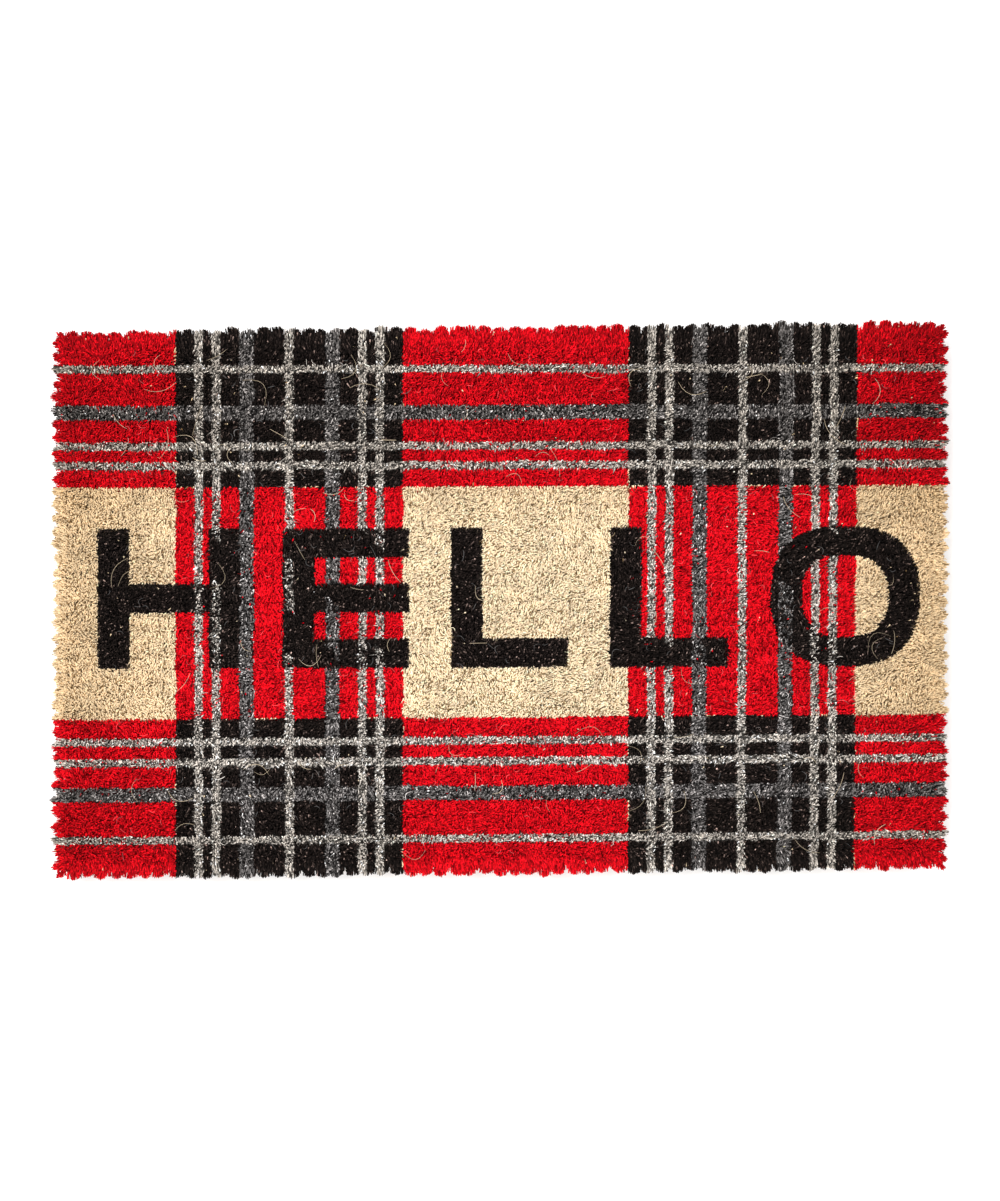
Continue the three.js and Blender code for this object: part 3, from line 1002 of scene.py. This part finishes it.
def spin(name, runs, width, twist, material, sides=8, closed=False):
    """Spins two-ply yarn along each run of points, into one closed mesh at the origin. The runs are about
    equally long. The mesh's map "lay" gives how far along the yarn each point is, and how far round it, in
    turns."""
    outline = lobed(name + "_outline", width, sides)
    path = bpy.data.curves.new(name, "CURVE")
    path.dimensions = "3D"
    path.twist_mode = "MINIMUM"
    path.bevel_mode = "OBJECT"
    path.bevel_object = outline
    path.use_fill_caps = True
    for run in runs:
        steps = np.linalg.norm(np.diff(run, axis=0), axis=1)
        travelled = np.concatenate([[0], np.cumsum(steps)])
        whole = travelled[-1] + (np.linalg.norm(run[0] - run[-1]) if closed else 0)
        turn = 2 * math.pi / twist
        if closed:
            turn = 2 * math.pi * round(whole / twist) / whole
        spline = path.splines.new("POLY")
        spline.points.add(len(run) - 1)
        spline.points.foreach_set("co", np.concatenate([run, np.ones((len(run), 1))], axis=1).ravel())
        spline.points.foreach_set("tilt", (travelled * turn).astype(np.float32))
        spline.use_cyclic_u = closed
    piece = bpy.data.objects.new(name, path)
    bpy.context.collection.objects.link(piece)
    only(piece)
    bpy.ops.object.convert(target="MESH")
    piece = bpy.context.object
    bpy.ops.object.mode_set(mode="EDIT")
    bpy.ops.mesh.select_all(action="SELECT")
    bpy.ops.mesh.remove_doubles(threshold=0.01 * MM)
    bpy.ops.mesh.normals_make_consistent(inside=False)
    bpy.ops.object.mode_set(mode="OBJECT")
    bpy.ops.object.shade_smooth()
    bpy.data.objects.remove(outline)
    # The curve's own map runs from 0 to 1 along a run and round it.
    lay = piece.data.uv_layers[0]
    lay.name = "lay"
    places = np.empty(2 * len(piece.data.loops), np.float32)
    lay.uv.foreach_get("vector", places)
    places[::2] *= whole
    lay.uv.foreach_set("vector", places)
    piece.data.materials.clear()
    piece.data.materials.append(material)
    return piece


def settle(piece, node):
    """Gives a finished piece its body, and hides the CAD node that it stands for."""
    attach(piece, "root")
    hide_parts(node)


# ---------------------------------------------------------------------------------------------------
# Floor, lights and camera
# ---------------------------------------------------------------------------------------------------

FLOOR_ACROSS = 60  # in metres, so that its edge is lost in the white room
FLOOR_DROP = 0.2 * MM  # below the mat's foot, so that no fibre dips into the floor
# Each light's place and the length of its sides, in metres. The front light fills in the key light's
# shadows.
KEY_LIGHT = (-1.3, 0.9, 3.4), 1.8
FRONT_LIGHT = (1.1, -2.4, 3.2), 2.2
FRONT_POWER = 0.6  # of the key light's


def lay_floor(studio):
    bpy.ops.object.select_all(action="DESELECT")
    bpy.ops.mesh.primitive_plane_add(size=FLOOR_ACROSS, location=(0, 0, -FLOOR_DROP))
    floor = bpy.context.object
    floor.name = "floor"
    floor.data.materials.append(plain_floor(tuple(studio.floor)))


def softbox(name, place, across, power):
    """A square soft light that looks at the middle of the mat."""
    bpy.ops.object.light_add(type="AREA", location=place)
    light = bpy.context.object
    light.name = name
    light.data.size = across
    light.data.energy = power
    x, y, z = place
    light.rotation_euler = (math.atan2(math.hypot(x, y), z), 0, math.atan2(x, -y))


def place_camera(scene, studio):
    """Looks straight down, from where the mat takes its share of the view's width."""
    bpy.ops.object.camera_add()
    camera = bpy.context.object
    camera.data.sensor_fit = "HORIZONTAL"
    camera.data.lens = studio.lens
    view_width = 2 * HALF_LENGTH / studio.fill
    distance = view_width * studio.lens / camera.data.sensor_width
    camera.location = (0, 0, TOP + distance)
    camera.rotation_euler = (0, 0, 0)
    scene.camera = camera


# ---------------------------------------------------------------------------------------------------
# Operators
# ---------------------------------------------------------------------------------------------------


class DOORMAT_OT_pile(bpy.types.Operator):
    """Plant the printed bristle pile, one piece for each pile row"""

    bl_idname = "doormat.pile"
    bl_label = "Bristle Pile"

    def execute(self, context):
        pile = context.scene.doormat_pile
        stencil = context.scene.doormat_stencil
        material = dyed_coir(stencil)
        short = bristle_shape(root=0, segments=1)
        curved = bristle_shape(root=0.84, segments=2)
        curled = bristle_shape(root=0.84, segments=6)
        for index, node in enumerate(PILE_ROWS):
            row = PileRow(index, pile, stencil)
            planting = Planting()
            row.plant_bed(planting)
            row.plant_top(planting, short)
            row.plant_rim(planting, curved)
            row.plant_back(planting, short)
            row.plant_loose(planting, curled)
            piece = planting.mesh(f"bristle_row_{index + 1:02d}", material)
            settle(piece, node)
        return {"FINISHED"}


class DOORMAT_OT_weft(bpy.types.Operator):
    """Spin the doubled weft cords that run along the mat under each pile row"""

    bl_idname = "doormat.weft"
    bl_label = "Weft Cords"

    def execute(self, context):
        cords = context.scene.doormat_cords
        material = spun_yarn("weft_yarn", tuple(cords.yarn))
        for index, node in enumerate(WEFT_CORDS):
            low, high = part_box(node)
            width = high.z - low.z
            apart = (high.y - low.y - width) / 2
            level = (high.z + low.z) / 2
            turn = high.x - apart - width / 2
            way = -1 if index % 2 else 1
            out = np.arange(low.x + 1 * MM, turn, CORD_STEP)
            bend = np.radians(np.arange(-90, 91, 18))
            x = np.concatenate([out, turn + apart * np.cos(bend), out[::-1]]) * way
            y = np.concatenate([out * 0 - apart, apart * np.sin(bend), out * 0 + apart])
            # No hand-laid cord is quite straight.
            y = y + 0.3 * MM * wander(x, 50 + index, (0.062, 0.031))
            z = level + 0.12 * MM * wander(x, 80 + index, (0.124, 0.04))
            run = as_laid(np.stack([x, y + ROW_MIDDLES[index], z], axis=1), context.scene.doormat_pile)
            piece = spin(f"weft_yarn_{index + 1:02d}", [run], width, cords.weft_twist, material)
            settle(piece, node)
        return {"FINISHED"}


class DOORMAT_OT_warp(bpy.types.Operator):
    """Spin the warp cords that pass over and under the weft"""

    bl_idname = "doormat.warp"
    bl_label = "Warp Cords"

    def execute(self, context):
        cords = context.scene.doormat_cords
        material = spun_yarn("warp_yarn", tuple(cords.yarn))
        for index, node in enumerate(WARP_CORDS):
            low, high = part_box(node)
            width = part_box(WEFT_CORDS[0])[0].z
            swing = (high.z - low.z - width) / 2
            y = np.arange(low.y, high.y, CORD_STEP / 2)
            # It lies flat over and under the weft cords, and crosses over in the short way between them.
            starts_over = 1 if index % 2 else -1
            over = np.tanh(2.2 * starts_over * np.cos(math.pi * (y - ROW_MIDDLES[0]) / ROW_STEP))
            x = (low.x + high.x) / 2 + 0.4 * MM * wander(y, 110 + index, (0.046, 0.09))
            run = np.stack([x + y * 0, y, (low.z + high.z) / 2 + swing * over], axis=1)
            run = as_laid(run, context.scene.doormat_pile)
            piece = spin(f"warp_yarn_{index + 1:02d}", [run], width, cords.warp_twist, material)
            settle(piece, node)
        return {"FINISHED"}


class DOORMAT_OT_braid(bpy.types.Operator):
    """Plait the three-strand braid that goes round the weave"""

    bl_idname = "doormat.braid"
    bl_label = "Edge Braid"

    def execute(self, context):
        cords = context.scene.doormat_cords
        across = (BRAID_WIDTH - cords.strand_width) / 2
        rise = (BRAID_HEIGHT - cords.strand_width) / 2
        around = round_rectangle(BRAID_X, BRAID_Y, cords.braid_corner, CORD_STEP / 2)
        place = np.arange(len(around)) / len(around)
        plaits = round(len(around) * CORD_STEP / 2 / cords.braid_pitch)
        runs = []
        for strand in range(3):
            phase = 2 * math.pi * (place * plaits + strand / 3)
            x = around[:, 0] + around[:, 2] * across * np.sin(phase)
            y = around[:, 1] + around[:, 3] * across * np.sin(phase)
            z = BRAID_LEVEL + rise * np.sin(2 * phase)
            runs.append(as_laid(np.stack([x, y, z], axis=1), context.scene.doormat_pile))
        material = spun_yarn("braid_yarn", tuple(cords.yarn))
        piece = spin("braid", runs, cords.strand_width, cords.strand_twist, material, closed=True)
        settle(piece, "edge_braid")
        return {"FINISHED"}


class DOORMAT_OT_twine(bpy.types.Operator):
    """Sew the braid on with one twine that whips round it"""

    bl_idname = "doormat.twine"
    bl_label = "Sewing Twine"

    def execute(self, context):
        cords = context.scene.doormat_cords
        out_reach = (BRAID_WIDTH + cords.twine_width) / 2
        up_reach = (BRAID_HEIGHT + cords.twine_width) / 2
        corners = []
        # Front, right, back and left. The next stitch starts where the twine has come along under the braid.
        for side in range(4):
            half, away = (WEAVE_Y, BRAID_X) if side % 2 else (WEAVE_X, BRAID_Y)
            end = half - cords.stitch_corner_gap
            gaps = round(2 * end / cords.stitch_pitch)
            turn = side * math.pi / 2
            cos, sin = round(math.cos(turn)), round(math.sin(turn))
            for middle in np.linspace(-end, end, gaps + 1):
                slant = np.linspace(-0.5, 0.5, len(STITCH)) * cords.stitch_slant
                for along, (across, rise) in zip(middle + slant, STITCH):
                    out = away + across * out_reach
                    z = BRAID_LEVEL + rise * up_reach
                    corners.append((along * cos + out * sin, along * sin - out * cos, z))
        run = as_laid(smooth_through(corners, steps=3, longest=TWINE_STRETCH), context.scene.doormat_pile)
        material = spun_yarn("jute_twine", tuple(cords.twine))
        piece = spin("stitching", [run], cords.twine_width, cords.twine_twist, material, sides=6)
        settle(piece, "sewing_twine")
        return {"FINISHED"}


class DOORMAT_OT_stage(bpy.types.Operator):
    """Set up the pale floor, the soft lights and the camera"""

    bl_idname = "doormat.stage"
    bl_label = "Floor, Lights and Camera"

    def execute(self, context):
        studio = context.scene.doormat_studio
        lay_floor(studio)
        softbox("key_light", *KEY_LIGHT, studio.key)
        softbox("front_light", *FRONT_LIGHT, studio.key * FRONT_POWER)
        world = bpy.data.worlds.new("white_room")
        world.use_nodes = True
        background = world.node_tree.nodes["Background"]
        background.inputs["Color"].default_value = (1, 1, 1, 1)
        background.inputs["Strength"].default_value = studio.sky
        context.scene.world = world
        context.scene.view_settings.view_transform = "Standard"
        context.scene.view_settings.look = "None"
        place_camera(context.scene, studio)
        return {"FINISHED"}


class DOORMAT_PT_panel(bpy.types.Panel):
    """Lists what the mat is made of"""

    bl_idname = "DOORMAT_PT_panel"
    bl_label = "Coir Door Mat"
    bl_space_type = "VIEW_3D"
    bl_region_type = "UI"
    bl_category = "Door Mat"

    def draw(self, context):
        layout = self.layout
        for operator in OPERATORS:
            layout.operator(operator.bl_idname)
        for name in SETTINGS:
            group = getattr(context.scene, name)
            box = layout.box()
            for key in group.__annotations__:
                box.prop(group, key)


SETTINGS = {
    "doormat_pile": PileSettings,
    "doormat_stencil": StencilSettings,
    "doormat_cords": CordSettings,
    "doormat_studio": StudioSettings,
}
OPERATORS = (
    DOORMAT_OT_weft,
    DOORMAT_OT_warp,
    DOORMAT_OT_braid,
    DOORMAT_OT_twine,
    DOORMAT_OT_pile,
    DOORMAT_OT_stage,
)


def register():
    for name, group in SETTINGS.items():
        bpy.utils.register_class(group)
        setattr(bpy.types.Scene, name, bpy.props.PointerProperty(type=group))
    for operator in OPERATORS:
        bpy.utils.register_class(operator)
    bpy.utils.register_class(DOORMAT_PT_panel)


def unregister():
    bpy.utils.unregister_class(DOORMAT_PT_panel)
    for operator in reversed(OPERATORS):
        bpy.utils.unregister_class(operator)
    for name, group in reversed(SETTINGS.items()):
        delattr(bpy.types.Scene, name)
        bpy.utils.unregister_class(group)


def main():
    register()
    bpy.ops.doormat.weft()
    bpy.ops.doormat.warp()
    bpy.ops.doormat.braid()
    bpy.ops.doormat.twine()
    bpy.ops.doormat.pile()
    bpy.ops.doormat.stage()


if __name__ == "__main__":
    main()
